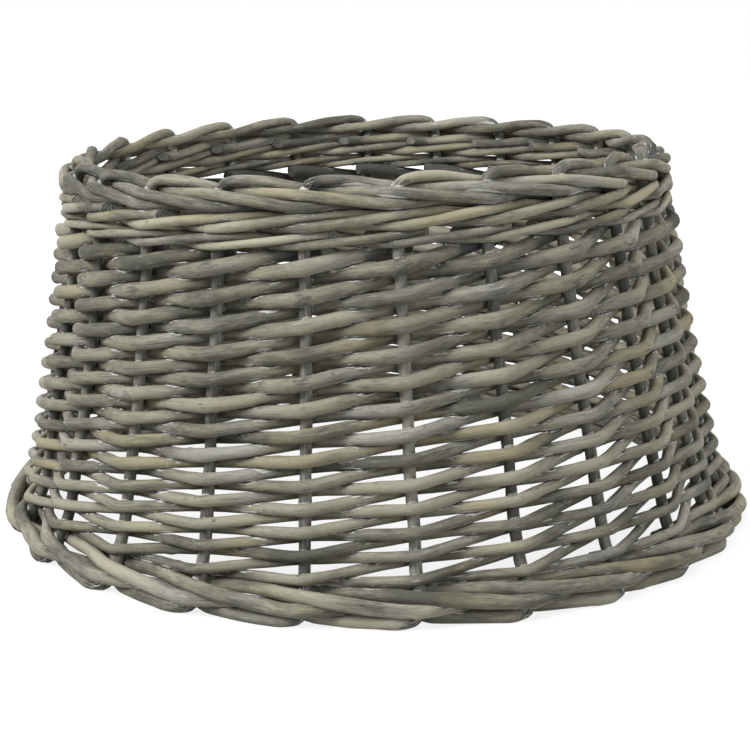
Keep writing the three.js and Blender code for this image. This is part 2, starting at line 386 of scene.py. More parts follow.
rods = [Rod(number, node) for number, node in enumerate(nodes)]
print("knots:", {rod.kind: len(rod.knots) for rod in rods})

# %% [markdown]
# ## Settle the borders
# The lowest stroke of a stake lies on the ground until the next stake hides it, and only then
# climbs behind it. The model's rods bend at a few knots and rise a little sooner, which would
# leave notches under the border, and the arcs of the rim would stand a little proud. Drawing the
# borders anew would part them from the model, so the knots stay. They are only moved a few
# millimetres, with two more added to the lowest stroke, and the first rows of weavers follow.

# %% Press the lowest stroke down
# A stake's knots, counted from its butt, and those of the rim from its tip
HIGH, LOW, OVER, BEHIND_NEXT, STROKE_END, STROKE_START, CORNER, UPRIGHT = range(3, 11)
RIM_CORNER, RIM_STROKE_END = -10, -8
SINK = {HIGH: 2.6, LOW: 0.9, OVER: 0.5, UPRIGHT: 1.4}
RIM_LIFT, RIM_SAG = 0.2, 1.2
GROUND_LEVEL = 4.2
CORNER_RISE = 0.5
BEHIND_LEVEL = 5.0
BEHIND_OUT = 1.5
CORNER_SHIFT = 0.4
HUG = 0.7
ADDED = 2
BELLY = 1.0
# How far the first knots of each weaver go down
FIRST_ROWS = (1.6, 1.6, 1.4, 0.6)


def outward(point, step):
    """A step straight out from the middle of the ring."""
    return step * point * (1, 1, 0) / np.hypot(*point[:2])


def settle(rod):
    """Moves the knots of a stake's borders, and adds two to its lowest stroke."""
    knots = rod.knots
    for knot, drop in SINK.items():
        knots[knot, 2] -= drop
    knots[BEHIND_NEXT] += outward(knots[BEHIND_NEXT], BEHIND_OUT)
    knots[BEHIND_NEXT, 2] = BEHIND_LEVEL
    knots[STROKE_END] += HUG * (knots[BEHIND_NEXT] - knots[STROKE_END])
    knots[CORNER] += CORNER_SHIFT * (knots[UPRIGHT] - knots[CORNER])
    knots[[STROKE_END, STROKE_START], 2] = GROUND_LEVEL
    knots[CORNER, 2] = GROUND_LEVEL + CORNER_RISE
    knots[RIM_CORNER, 2] += RIM_LIFT
    knots[RIM_STROKE_END, 2] -= RIM_SAG
    start, end = knots[STROKE_START], knots[STROKE_END]
    shares = np.arange(1, ADDED + 1) / (ADDED + 1)
    middle = [end + share * (start - end) for share in shares]
    middle = [point + outward(point, BELLY) for point in middle]
    rod.knots = np.insert(knots, STROKE_START, middle, axis=0)


for rod in rods:
    if rod.kind == "stake":
        settle(rod)
    if rod.kind == "weaver":
        rod.knots[:len(FIRST_ROWS), 2] -= FIRST_ROWS
print("lowest stroke lies at", GROUND_LEVEL, "mm")

# %% [markdown]
# ## Bend willow round the stakes
# A green rod is springy: between two stakes it runs nearly straight, and where it presses round a
# stake it kinks. Straight pieces would look like folded wire and a plain smooth curve like rope.
# A Hermite curve lies between the two: at each knot, the spring says how far the curve keeps its
# direction. The stakes' thick butts have most of it, and chance adds or takes a little.

# %% Draw the middle line of a rod
STEP = 2.4
SPRING = {"stake": 0.6, "weaver": 0.22, "lower_wale": 0.3, "upper_wale": 0.3}
RIM_SPRING = 0.22
SPRING_SPREAD = 0.2


def bend(rod):
    """Sets the rod's middle line in even steps, and how far along each point is."""
    legs = np.diff(rod.knots, axis=0)
    lengths = np.linalg.norm(legs, axis=1)[:, None]
    ways = legs / lengths
    inner = (ways[:-1] * lengths[1:] + ways[1:] * lengths[:-1]) / (lengths[1:] + lengths[:-1])
    ways = np.vstack([ways[:1], inner, ways[-1:]])
    spring = np.full(len(ways), SPRING[rod.kind])
    if rod.kind == "stake":
        spring[len(spring) // 2:] = RIM_SPRING
    spring += rod.luck.uniform(-1, 1, len(ways)) * SPRING_SPREAD
    ways = ways * spring[:, None]
    curve = []
    for leg, length in enumerate(lengths[:, 0]):
        share = np.linspace(0, 1, max(2, math.ceil(length)), endpoint=False)[:, None]
        rest = 1 - share
        curve.append(
            (1 + 2 * share) * rest**2 * rod.knots[leg]
            + (1 + 2 * rest) * share**2 * rod.knots[leg + 1]
            + length * share * rest * (rest * ways[leg] - share * ways[leg + 1])
        )
    curve = np.vstack([*curve, rod.knots[-1:]])
    walked = np.concatenate([[0], np.cumsum(np.linalg.norm(np.diff(curve, axis=0), axis=1))])
    rod.along = np.linspace(0, walked[-1], round(walked[-1] / STEP))
    rod.line = np.stack([np.interp(rod.along, walked, axis) for axis in curve.T], axis=1)
    # Each point moves a little towards the middle of its neighbours, which rounds the kinks.
    rod.line[1:-1] = (rod.line[:-2] + 2 * rod.line[1:-1] + rod.line[2:]) / 4


for rod in rods:
    bend(rod)
lengths = [rod.along[-1] for rod in rods]
print("rod lengths:", round(min(lengths)), "to", round(max(lengths)), "mm")

# %% [markdown]
# ## Let it be hand work
# No willow rod is straight and no wall of a basket is a true cone. Random noise on every corner
# would look like rust, so the strays here are long and slow: the wall leans in and out by about a
# millimetre, the same for all rods in one place, and each rod wanders a few tenths on its own.

# %% Make the wall and the rods stray
# How far the wall moves out and up, and its waves round the ring: the height and number of each,
# its phase, and how far it turns from foot to rim
LEAN_OUT, LEAN_UP = 0.9, 1.0
OUT_WAVES = ((1, 3, 0.6, 0), (0.7, 5, 2.1, 4))
UP_WAVES = ((1, 2, 1, 0), (0.6, 7, 0, 3))
# How far a rod strays on its own, and its longest and shortest wave
WANDER = 0.32
WANDER_WAVES = (190, 55)
WAVE_COUNT = 4


def ring_waves(parts, angle, height):
    """A slow wave round the ring, with a height of 1 at most."""
    total = sum(part for part, count, phase, turn in parts)
    return sum(
        part * np.sin(count * angle + phase + turn * height) for part, count, phase, turn in parts
    ) / total


def waves(luck, along, longest, shortest):
    """A slow random line with a height of about 1."""
    wavelengths = luck.uniform(shortest, longest, WAVE_COUNT)
    phases = luck.uniform(0, 2 * math.pi, WAVE_COUNT)
    total = np.sin(2 * math.pi * along[:, None] / wavelengths + phases).sum(axis=1)
    return total / math.sqrt(WAVE_COUNT)


def unit(steps):
    return steps / np.linalg.norm(steps, axis=1)[:, None]


def cross_ways(rod):
    """Sets the directions out of the wall and up along it, square to the rod, and its curl."""
    rod.ahead = unit(np.gradient(rod.line, rod.along, axis=0))
    out = unit(rod.line * (1, 1, 0))
    rod.out = unit(out - rod.ahead * np.sum(out * rod.ahead, axis=1)[:, None])
    rod.up = np.cross(rod.out, rod.ahead)
    rod.curl = np.gradient(rod.ahead, rod.along, axis=0)
    rod.radius = np.interp(rod.along, rod.along[[0, -1]], rod.end_radii)


def stray(rod):
    """Moves the middle line with the wall, and a little on its own."""
    angle = np.arctan2(rod.line[:, 0], -rod.line[:, 1])
    height = rod.line[:, 2] * MM / cad_high[2]
    free = np.sin(math.pi * np.clip(height, 0, 1))
    lean = LEAN_OUT * free * ring_waves(OUT_WAVES, angle, height)
    lift = LEAN_UP * free * ring_waves(UP_WAVES, angle, height)
    own_out, own_up = (WANDER * waves(rod.luck, rod.along, *WANDER_WAVES) for way in range(2))
    rod.line += rod.out * (lean + own_out)[:, None]
    rod.line += (0, 0, 1) * lift[:, None] + rod.up * own_up[:, None]


for rod in rods:
    cross_ways(rod)
    stray(rod)
    cross_ways(rod)
sharpest = max(np.linalg.norm(rod.curl, axis=1).max() for rod in rods)
print("sharpest bend:", round(sharpest, 3), "per mm")

# %% [markdown]
# ## Bud scars
# Where a leaf bud sat, a rod has a small raised scar on one side, with a low swelling right round
# it. A texture could show them, but they break the outline of the rod, so they go into the shape:
# every corner of every ring gets a height, long before any mesh exists. How strongly it lies on a
# scar is kept too, because the bark there is darker.

# %% Raise the bud scars
SIDES = 14
TURNS = np.arange(SIDES) * 2 * math.pi / SIDES
SCAR_SPACING = (38, 110)
SCAR_HEIGHT = (0.25, 0.7)
SCAR_LENGTH = 2.6
SCAR_ANGLE = 0.55
SWELLING_HEIGHT = 0.25
SWELLING_LENGTH = 3.5


def hump(distance, size):
    """1 at no distance, and soon nothing beyond the size."""
    return np.exp(-((distance / size) ** 2))


def scars(rod):
    """How strongly each corner of each ring lies on a bud scar, from 0 to 1, and its height."""
    marks = np.zeros((len(rod.along), SIDES))
    heights = np.zeros_like(marks)
    place = rod.luck.uniform(0, SCAR_SPACING[1])
    while place < rod.along[-1]:
        turned = (TURNS - rod.luck.uniform(0, 2 * math.pi) + math.pi) % (2 * math.pi) - math.pi
        near = hump(rod.along - place, SCAR_LENGTH)[:, None] * hump(turned, SCAR_ANGLE)
        swelling = SWELLING_HEIGHT * hump(rod.along - place, SWELLING_LENGTH)[:, None]
        heights += rod.luck.uniform(*SCAR_HEIGHT) * (near + swelling)
        marks = np.maximum(marks, near)
        place += rod.luck.uniform(*SCAR_SPACING)
    return marks, heights


print("corners in a ring:", SIDES)

# %% [markdown]
# ## Bruises
# Bark suffers where a rod is bent: it wrinkles, and at the hard corners of the borders it is
# crushed. The bend is known from the curl of the middle line. Used as it is, every kink would look
# the same, so chance weakens some and strengthens others. The stakes' corners get an extra
# bruise, all of them at the foot and some at the rim.

# %% Bruise the bends
BRUISE, BRUISE_SPREAD, BRUISE_MOST = 0.7, 0.8, 1.6
BRUISE_WAVES = (170, 60)
CRUSH = 1.3
CRUSH_LENGTH = 8
# The knots that are crushed, and the least and most of it, where less than 0 counts as 0
CRUSHED_KNOTS = ((CORNER + ADDED, 0.2, 1), (RIM_CORNER, -0.9, 0.7))


def bruise(rod, sharpness):
    """Sets how much the bark has suffered at each ring."""
    chance = BRUISE + BRUISE_SPREAD * waves(rod.luck, rod.along, *BRUISE_WAVES)
    rod.bent = sharpness * np.clip(chance, 0, BRUISE_MOST)
    if rod.kind == "stake":
        for knot, least, most in CRUSHED_KNOTS:
            distance = np.linalg.norm(rod.line - rod.knots[knot], axis=1)
            crush = CRUSH * max(0, rod.luck.uniform(least, most))
            rod.bent += crush * hump(distance, CRUSH_LENGTH)


print("crushed corners on each stake: up to", len(CRUSHED_KNOTS))

# %% [markdown]
# ## Swellings and flats
# A rod thickens and thins by a few hundredths, is never quite round, and goes flat where it is
# bent hard. The wales widen at their cut ends, and near the ground the rods are a little fatter.
# Each of these could be a modifier, but all are changes of the radius, so they are added up for
# every corner of every ring.

# %% Shape the skin of a rod
# Added to each kind's radius, which closes the small gaps between the model's rods
PLUMP = {"stake": 0.35, "weaver": 0.4, "lower_wale": 0.3, "upper_wale": 0.3}
SWELL = 0.045
SWELL_WAVES = (90, 25)
OVAL = 0.03
OVAL_WAVES = (400, 150)
KINK_BLUR = np.array([1, 2, 3, 4, 3, 2, 1]) / 16
FLATTEN = 0.6
FLATTEST = 0.3
BULGE = 0.35
END_FLARE = 0.42
FLARE_RUN = 18
FLARE_CURVE = 0.7
FAT_FOOT = 0.42
FAT_BELOW = 28
FAT_EDGE = 6


def crosswise(rod):
    """Unit directions from the middle line to each corner of each ring."""
    out, up = rod.out[:, None], rod.up[:, None]
    return np.cos(TURNS)[:, None] * out + np.sin(TURNS)[:, None] * up


def shape_skin(rod):
    """Sets the corners of the bark, and how far each is from the middle line."""
    rod.scar, bumps = scars(rod)
    swell = 1 + SWELL * waves(rod.luck, rod.along, *SWELL_WAVES)
    oval = OVAL * np.cos(2 * (TURNS - waves(rod.luck, rod.along, *OVAL_WAVES)[:, None]))
    sideways = rod.curl * rod.radius[:, None]
    bent = np.stack([np.sum(sideways * rod.out, axis=1), np.sum(sideways * rod.up, axis=1)])
    sharpness = np.convolve(np.linalg.norm(bent, axis=0), KINK_BLUR, mode="same")
    bruise(rod, sharpness)
    toward = np.cos(TURNS - np.arctan2(bent[1], bent[0])[:, None])
    oval -= FLATTEN * np.minimum(sharpness, FLATTEST)[:, None] * (toward**2 - BULGE)
    if rod.kind.endswith("wale"):
        from_end = np.minimum(rod.along, rod.along[-1] - rod.along)
        swell += END_FLARE * np.clip(1 - from_end / FLARE_RUN, 0, 1) ** FLARE_CURVE
    low = np.clip((FAT_BELOW - rod.line[:, 2]) / FAT_EDGE, 0, 1)[:, None]
    rod.reach = (rod.radius * swell)[:, None] * (1 + oval) + PLUMP[rod.kind] + FAT_FOOT * low + bumps
    rod.skin = rod.line[:, None] + rod.reach[..., None] * crosswise(rod)


for rod in rods:
    shape_skin(rod)
print("corners on the bark:", sum(rod.skin.shape[0] * SIDES for rod in rods))

# %% [markdown]
# ## Cut ends
# Every end was cut with a knife: the weavers nearly square, the stakes at a slant so that they
# lie flat in the border, and the wales at a slant that faces out. An end is a few more rings that
# close over the wood, first a narrow bevel, then the cut face with a small hollow at the pith. A
# boolean cut would do the same and leave a ragged mesh.

# %% Close the ends
# How many radii the outer side of an end runs past its middle
SLANT = {"stake": 1.4, "weaver": 0.3, "lower_wale": -1.8, "upper_wale": -2.2}
SLANT_RUN = 16
# Width of each ring of an end, as a share of the rod's, and how far it stands past the end
END_RINGS = [(0.96, 0.3), (0.8, 0.42), (0.5, 0.45), (0.2, 0.3), (0.05, 0.12)]


def close_ends(rod):
    """Leans the cuts, and adds the end rings to those of the bark."""
    rows, alongs = [rod.skin], [rod.along]
    for end, way in ((0, -1), (-1, 1)):
        from_end = np.abs(rod.along - rod.along[end])
        share = np.clip(1 - from_end / SLANT_RUN, 0, 1)[:, None]
        lean = SLANT[rod.kind] * way * share * rod.radius[:, None] * np.cos(TURNS)
        rod.skin += lean[..., None] * rod.ahead[:, None]
        middle, ahead = rod.skin[end].mean(axis=0), rod.ahead[end] * way
        rings = [middle + scale * (rod.skin[end] - middle) + push * ahead for scale, push in END_RINGS]
        places = [rod.along[end] + way * push for scale, push in END_RINGS]
        if way < 0:
            rows.insert(0, np.array(rings[::-1]))
            alongs.insert(0, np.array(places[::-1]))
        else:
            rows.append(np.array(rings))
            alongs.append(np.array(places))
    rod.rows = np.concatenate(rows)
    rod.row_along = np.concatenate(alongs)


for rod in rods:
    close_ends(rod)
print("rings with ends:", sum(len(rod.rows) for rod in rods))

# %% [markdown]
# ## Where rods touch
# Where rods press on each other, the chalky rest of an old wash gathers, and the bark is also
# painted darker there as shade. The render could look for such corners each time, with an ambient
# occlusion node, but other programs don't have it. Here it is measured once: for each corner, the
# distance to the skin of the nearest other rod, found among the middle lines of the rods close by.
# The ledge is the same distance, counted only where the other rod is below, because chalk settles
# there.

# %% Measure the gap to the next rod
FAR = 12.0
WIDEST = max(rod.reach.max() for rod in rods)


def measure_gaps():
    """Sets the gap and the ledge of each corner, up to FAR."""
    lines = np.concatenate([rod.line for rod in rods])
    aheads = np.concatenate([rod.ahead for rod in rods])
    radii = np.concatenate([rod.radius + PLUMP[rod.kind] for rod in rods])
    owners = np.concatenate([np.full(len(rod.line), number) for number, rod in enumerate(rods)])
    tree = KDTree(len(lines))
    for index, point in enumerate(lines):
        tree.insert(point, index)
    tree.balance()
    for number, rod in enumerate(rods):
        first, other = [], []
        for index, point in enumerate(rod.line):
            near = [hit[1] for hit in tree.find_range(point, 2 * WIDEST + FAR / 2)]
            near = [hit for hit in near if owners[hit] != number]
            first += [index] * len(near)
            other += near
        rod.gap = np.full((len(rod.line), SIDES), FAR)
        rod.ledge = rod.gap.copy()
        away = rod.skin[first] - lines[other][:, None]
        # A point of the other line stands for half a step each way along it.
        ways = aheads[other][:, None]
        slide = np.clip(np.sum(away * ways, axis=2), -STEP / 2, STEP / 2)
        away -= slide[..., None] * ways
        gaps = np.linalg.norm(away, axis=2) - radii[other][:, None]
        np.minimum.at(rod.gap, first, gaps)
        np.minimum.at(rod.ledge, first, np.where(away[..., 2] > 0, gaps, FAR))


measure_gaps()
close = np.concatenate([rod.gap.ravel() for rod in rods])
print("corners within 1 mm of another rod:", round(100 * float(np.mean(close < 1))), "%")

# %% [markdown]
# ## How a rod ages, and where shade is painted on it
# Each rod has its own grey, and drifts from it along its length. The uprights, which the weavers
# shade, are greyer than the strokes of the borders. The stakes' tails and the beginnings of the
# wales are painted darker as shade, and the weavers' thick ends are painted nearly black as shade
# inside the rim, farthest at the back. These are slow changes along one rod, which noise in a
# material can't know about, so they are stored on the mesh with the rest.

# %% Give each rod its tone
# The usual value, how much rods differ, how much one rod drifts, and its waves
TONE, TONE_SPREAD, TONE_DRIFT, TONE_WAVES = 0.5, 0.15, 0.15, (260, 60)
WARMTH, WARMTH_SPREAD, WARMTH_DRIFT, WARMTH_WAVES = 0.4, 0.16, 0.2, (220, 50)
UPRIGHT_GREY, UPRIGHT_DARK = 0.7, 0.08
# Painted shade on the stakes' tails and the wales' beginnings: how dark, and over how many millimetres
TAIL_SHADE, TAIL_RUN = 0.25, 40
WALE_SHADE, WALE_RUN = 0.35, 30
# The weavers' butts, painted dark as shade: how dark, how grey, how soft the dark part's edge is,
# and how long it is at the back and at the front
BUTT_SHADE, BUTT_SHADE_GREY, BUTT_EDGE = (0.5, 0.9), 0.8, 12
BACK_RUN, FRONT_RUN = (40, 80), (24, 38)


def age(rod):
    """Sets tone from 0, dark, to 1, light, and warmth from 0, grey, to 1, yellow."""
    luck, along = rod.luck, rod.along
    from_tip = along[-1] - along
    rod.tone = TONE + luck.normal(0, TONE_SPREAD) + TONE_DRIFT * waves(luck, along, *TONE_WAVES)
    rod.warmth = WARMTH + luck.normal(0, WARMTH_SPREAD)
    rod.warmth = rod.warmth + WARMTH_DRIFT * waves(luck, along, *WARMTH_WAVES)
    if rod.kind == "stake":
        upright = np.abs(rod.ahead[:, 2]) ** 2
        rod.warmth -= UPRIGHT_GREY * upright
        rod.tone -= UPRIGHT_DARK * upright
        # The tails, which lie inside the rim, are painted darker as shade.
        rod.tone -= TAIL_SHADE * np.clip(1 - from_tip / TAIL_RUN, 0, 1)
    if rod.kind.endswith("wale"):
        # The wales' beginnings are painted darker as shade.
        rod.tone -= WALE_SHADE * np.clip(1 - along / WALE_RUN, 0, 1)
    if rod.kind == "weaver":
        # The butts inside the rim are painted dark and grey as shade, over a longer run at the back.
        at_back = rod.line[-1, 1] > 0
        shade_run = luck.uniform(*(BACK_RUN if at_back else FRONT_RUN))
        butt_shade = np.clip((shade_run - from_tip) / BUTT_EDGE, 0, 1)
        rod.tone -= luck.uniform(*BUTT_SHADE) * butt_shade
        rod.warmth -= BUTT_SHADE_GREY * butt_shade


for rod in rods:
    age(rod)
tones = np.concatenate([rod.tone for rod in rods])
print("tones:", round(float(tones.min()), 2), "to", round(float(tones.max()), 2))

# %% [markdown]
# ## Join the rings
# Rings become a mesh by joining each corner to its neighbours on the next ring. Blender could
# bridge the rings itself, one pair at a time. Worked out as a table of corner numbers, it takes
# no time, and the order of the faces is known, which the map of the bark needs.


# %% Number the faces of a rod
def faces_between(row_count):
    """Corner numbers of the four-sided faces, and of the small fans that close the ends."""
    row, side = np.meshgrid(np.arange(row_count - 1), np.arange(SIDES), indexing="ij")
    after = (side + 1) % SIDES
    here, there = row * SIDES, (row + 1) * SIDES
    corners = [here + side, there + side, there + after, here + after]
    quads = np.stack(corners, axis=-1).reshape(-1, 4)
    first, last = row_count * SIDES, row_count * SIDES + 1
    top = (row_count - 1) * SIDES
    fans = [(first, side, (side + 1) % SIDES) for side in range(SIDES)]
    fans += [(last, top + (side + 1) % SIDES, top + side) for side in range(SIDES)]
    return quads, fans


def padded(values):
    """Values of the bark's rings, repeated for the rings of both ends."""
    extra = len(END_RINGS)
    return np.concatenate([values[:1].repeat(extra, 0), values, values[-1:].repeat(extra, 0)])


longest = max(len(rod.rows) for rod in rods)
print("faces on the longest rod:", len(faces_between(longest)[0]))

# %% [markdown]
# ## Unroll the bark
# For use outside Blender the bark needs a flat map to be painted onto. Blender can unwrap a mesh
# by itself, but a rod a metre long and a centimetre thick would become one thin line on the map.
# So the bark is slit along the rod, laid out flat, and cut into strips that lie side by side.

# %% Lay the bark out flat
BAKE_MAP = "OFBake"
MAP_EDGE = 0.04


def unrolled(row_count, circumference):
    """Map places of every face corner."""
    strips = max(1, round(math.sqrt(row_count * STEP / circumference)))
    per_strip = math.ceil((row_count + 1) / strips)
    row, side = np.meshgrid(np.arange(-1, row_count), np.arange(SIDES), indexing="ij")
    strip, column = (row + 1) // per_strip, (row + 1) % per_strip
    starts = MAP_EDGE / 4 + (1 - MAP_EDGE / 2) * column / per_strip
    width = (1 - MAP_EDGE / 2) / per_strip
    lows = (strip + MAP_EDGE + (1 - 2 * MAP_EDGE) * side / SIDES) / strips
    height = (1 - 2 * MAP_EDGE) / SIDES / strips
    u = np.stack([starts, starts + width, starts + width, starts], axis=-1)
    v = np.stack([lows, lows, lows + height, lows + height], axis=-1)
    places = np.stack([u, v], axis=-1)
    # The fans have three corners, so they take three of the four in the first and last column.
    first = places[0][:, [0, 1, 2]]
    last = places[-1][:, [1, 3, 0]]
    return np.concatenate([part.reshape(-1, 2) for part in (places[1:-1], first, last)])


print("map of the bark:", BAKE_MAP)

# %% [markdown]
# ## The rod as a mesh
# Everything measured so far goes onto the corners under a name that the material can read. The
# grain needs one more: each corner's place inside its own rod, as if the rod had been drawn out
# straight, so that the grain bends with the wood. The usual texture coordinates would run straight
# through the collar and cut across every bend.

# %% Build one rod
METRE = 1000
GRAIN_LENGTH = 40
SHARP = math.radians(50)


def store(mesh, name, values, kind="FLOAT"):
    """Puts values on the corners of a mesh."""
    layer = mesh.attributes.new(name, kind, "POINT")
    field = "vector" if kind == "FLOAT_VECTOR" else "value"
    layer.data.foreach_set(field, np.ravel(values).astype(np.float32))


def store_measures(mesh, rod):
    """Stores each corner's place in its rod, and all that was measured there."""
    aside = rod.rows - padded(rod.line)[:, None]
    out, up = padded(rod.out)[:, None], padded(rod.up)[:, None]
    along = np.broadcast_to(rod.row_along[:, None], aside.shape[:2])
    # Each rod takes its own stretch of forty metres of grain, so that no two look the same.
    along = along + METRE * rod.luck.uniform(0, GRAIN_LENGTH)
    place = np.stack([along, np.sum(aside * out, axis=2), np.sum(aside * up, axis=2)], axis=-1)
    ends = [place[0].mean(axis=0), place[-1].mean(axis=0)]
    store(mesh, "place_in_rod", np.concatenate([place.reshape(-1, 3), ends]), "FLOAT_VECTOR")
    all_round = np.ones(SIDES)
    for name, values in {
        "gap": rod.gap,
        "ledge": rod.ledge,
        "scar": rod.scar,
        "slimness": 1 / rod.reach,
        "bent": rod.bent[:, None] * all_round,
        "tone": rod.tone[:, None] * all_round,
        "warmth": rod.warmth[:, None] * all_round,
    }.items():
        rows = padded(values)
        store(mesh, name, np.concatenate([rows.ravel(), [rows[0].mean(), rows[-1].mean()]]))


def build(rod, bark, cut):
    """The finished mesh of a rod, in metres, as an object."""
    row_count = len(rod.rows)
    tips = [rod.rows[0].mean(axis=0), rod.rows[-1].mean(axis=0)]
    points = np.concatenate([rod.rows.reshape(-1, 3), tips]) * MM
    points = np.clip(points, cad_low, cad_high)
    quads, fans = faces_between(row_count)
    mesh = bpy.data.meshes.new(rod.node)
    mesh.from_pydata(points.tolist(), [], quads.tolist() + fans)
    mesh.materials.append(bark)
    mesh.materials.append(cut)
    row_of = np.concatenate([quads[:, 0] // SIDES, np.full(2 * SIDES, -1)])
    inner = len(END_RINGS) - 1
    on_cut = (row_of < inner) | (row_of >= row_count - 1 - inner)
    mesh.polygons.foreach_set("material_index", on_cut.astype(np.int32))
    mesh.polygons.foreach_set("use_smooth", np.ones(len(on_cut), dtype=bool))
    store_measures(mesh, rod)
    flat = unrolled(row_count, 2 * math.pi * float(np.mean(rod.radius)))
    mesh.uv_layers.new(name=BAKE_MAP).data.foreach_set("uv", flat.ravel())
    mesh.set_sharp_from_angle(angle=SHARP)
    piece = bpy.data.objects.new(rod.node + "_rod", mesh)
    bpy.context.collection.objects.link(piece)
    return piece


print("edges are sharp from", round(math.degrees(SHARP)), "degrees")

# %% [markdown]
# ## Look closely at the bark
# Close up, willow bark shows marks of many sizes: streaks that run for centimetres, fine fibres,
# blotches, scratches and pores. One noise can't have them all. Each kind of mark gets its own
# grain, longer than it is wide, and the mixtures below start from these and from what was
# measured on the rod.


# %% Gather what the bark shows
def swing(noise, amount):
    """Noise that swings about zero instead of a half, by an amount."""
    return amount * (noise - 0.5)


def look_closely():
    """What was measured on the rod, and grain of several sizes."""
    place = measured("place_in_rod", "Vector")
    warmth = measured("warmth")
    return SimpleNamespace(
        gap=measured("gap"),
        ledge=measured("ledge"),
        bent=measured("bent"),
        scar=measured("scar"),
        tone=measured("tone"),
        warmth=warmth,
        shaded=fade(warmth, 0.15, -0.1),
        long_streaks=grain(place, along=40, across=1.2, detail=3, rough=0.6),
        fine_streaks=grain(place, along=7, across=0.34, detail=3, rough=0.65),
        blotches=grain(place, along=30, across=6),
        patches=grain(place, along=9, across=2.6, detail=3, rough=0.6),
        scratches=grain(place, along=4.5, across=0.5, detail=4, rough=0.75),
        smears=grain(place, along=10, across=0.75, detail=3, rough=0.7),
        speckle=grain(place, along=1.1, across=0.8, rough=0.6),
        cracks=grain(place, along=55, across=0.8, detail=1),
    )


print("grain ready")

# %% [markdown]
# ## The colour of old willow
# The willow was washed with white and has weathered to a warm olive grey, yellower in stretches.
# A plain mix of two colours looks painted. Here the tone of the rod, streaks and patches first
# decide how dark the wood is, its warmth decides between olive and plain grey, and then a thin
# rest of the wash goes over it.

# %% Mix the colour of the wood
WASH = colour(0.40, 0.395, 0.355)
YELLOW = colour(0.43, 0.37, 0.215)
GREY_LIGHT = colour(0.41, 0.40, 0.345)
GREY_DARK = colour(0.085, 0.084, 0.075)


def wood_colour(seen, light, dark, wash, yellow, streaks):
    """Wood between light and dark, with some yellow and some wash on it."""
    depth = seen.tone + swing(seen.long_streaks, 0.4)
    depth = depth + swing(seen.fine_streaks, 0.5 + streaks * seen.shaded)
    depth = depth + swing(seen.blotches, 0.6) + swing(seen.patches, 0.7)
    warm = fade(seen.warmth + swing(seen.patches, 0.5), -0.25, 0.45)
    paint = tint(fade(depth, 0.05, 0.95), tint(warm, GREY_DARK, dark), tint(warm, GREY_LIGHT, light))
    paint = tint(yellow * fade(seen.warmth + swing(seen.blotches, 0.9), 0.5, 1.0), paint, YELLOW)
    near = fade(seen.gap, 3.5, 0.4)
    washed = fade(seen.long_streaks + swing(seen.patches, 0.4) + 0.3 * near + wash, 0.6, 0.95)
    return tint(0.6 * washed, paint, WASH)


print("wood colours ready")

# %% [markdown]
# ## Chalk
# The wash has worn off the open bark and stayed as chalky smears: in the corners where rods
# touch, on the uprights just above a weaver, and in wrinkled bark. Outlining every corner in
# white would look drawn. So touch and wrinkles only raise the odds, and a streaky noise decides
# where a smear appears.


# %% Find the chalk
def chalky(seen, chalk, sill):
    """Mask of the chalk, from how much lies where rods touch and how much on the ledges."""
    held = fade(seen.blotches + swing(seen.patches, 0.5), 0.38, 0.52)
    flecked = fade(seen.blotches + swing(seen.patches, 0.4), 0.66, 0.76)
    kinked = fade(seen.bent + swing(seen.blotches, 0.3), 0.1, 0.25)
    on_ledge = fade(seen.ledge, 2.6, 1.2) * seen.shaded
    touch = held * chalk * fade(seen.gap, 3.2, 1.3) + sill * on_ledge
    hurt = 0.06 * kinked + 0.1 * fade(seen.bent, 0.4, 0.8)
    return fade(seen.smears + touch + hurt + 0.1 * flecked, 0.71, 0.77)


print("chalk ready")

# %% [markdown]
# ## Weathered bark, with painted shade
# Over the colour of the wood come thin dark cracks and pores, painted shade in the crevices,
# crushed dark bark at the hard corners, the chalk, dark bud scars, painted shade that blackens
# the darkest ends, and last a painted contact shadow where two rods meet. Each of these is one
# mask and one colour, laid over the last like glazes. One material for all the rods would make
# them all one colour, so each kind of rod has its own mixture.

# %% Mix the bark
CHALK = colour(0.74, 0.74, 0.70)
CRUSHED = colour(0.085, 0.084, 0.077)
# Black, for the thin bark line round a cut and for painted shade on the darkest ends
BARK_LINE_AND_SHADE_BLACK = colour(0.07, 0.069, 0.065)
# Nearly black, for the worst crushed bark and for a painted contact shadow where rods touch
CRUSH_AND_CONTACT_SHADE = colour(0.02, 0.019, 0.016)
BARK_RELIEF = {"Strength": 0.55, "Distance": 0.35 * MM}
BARK_SHINE = 0.35


